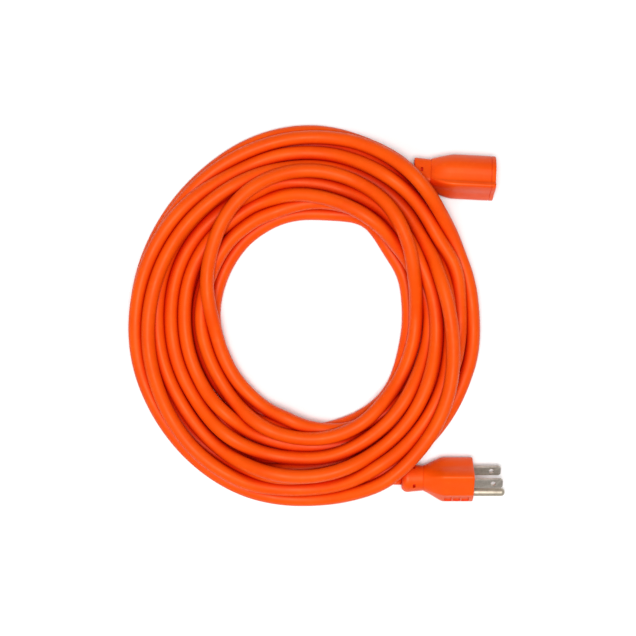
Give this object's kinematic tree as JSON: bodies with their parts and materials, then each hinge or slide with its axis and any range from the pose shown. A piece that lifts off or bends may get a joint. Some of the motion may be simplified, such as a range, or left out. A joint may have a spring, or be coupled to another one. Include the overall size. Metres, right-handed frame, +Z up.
{
  "type": "extension cord",
  "caption": "Grounding extension cord wound into a flat oval coil, with a moulded plug at one end and a moulded connector at the other.",
  "frame": {"origin": "centre of the footprint of the coiled cord's bounding box, on the surface that it lies on", "axes": "+Z up out of that surface, across the coil's flat sides; +X the way the plug's blades point; +Y towards the connector's side of the coil"},
  "size_m": [0.2304, 0.2326, 0.029],
  "materials": {
    "moulding": "semi-gloss moulded soft vinyl, vivid orange",
    "cord_jacket": "semi-gloss extruded soft vinyl jacket, vivid orange",
    "nickel_blade": "stamped blade, nickel plated, fine lengthwise brushing",
    "ground_pin_metal": "turned pin, pale nickel over brass, satin",
    "contact_brass": "folded spring brass",
    "insert_plastic": "stiff moulded insert, dark grey",
    "line_insulation": "black wire insulation",
    "neutral_insulation": "white wire insulation",
    "ground_insulation": "green wire insulation",
    "copper": "bare stranded copper"
  },
  "bodies": {
    "root": {"plug_body": "moulding", "plug_strain_relief": "moulding", "connector_body": "moulding", "connector_strain_relief": "moulding", "cord_coil": "cord_jacket", "cord_plug_tail": "cord_jacket", "cord_connector_tail": "cord_jacket", "plug_jacket_end": "cord_jacket", "connector_jacket_end": "cord_jacket", "plug_line_blade": "nickel_blade", "plug_neutral_blade": "nickel_blade", "plug_ground_pin": "ground_pin_metal", "connector_line_contact": "contact_brass", "connector_neutral_contact": "contact_brass", "connector_ground_contact": "contact_brass", "plug_blade_bridge": "insert_plastic", "connector_contact_carrier": "insert_plastic", "plug_line_wire_insulation": "line_insulation", "connector_line_wire_insulation": "line_insulation", "plug_neutral_wire_insulation": "neutral_insulation", "connector_neutral_wire_insulation": "neutral_insulation", "plug_ground_wire_insulation": "ground_insulation", "connector_ground_wire_insulation": "ground_insulation", "plug_line_copper_core": "copper", "plug_neutral_copper_core": "copper", "plug_ground_copper_core": "copper", "connector_line_copper_core": "copper", "connector_neutral_copper_core": "copper", "connector_ground_copper_core": "copper"}
  },
  "joints": []
}
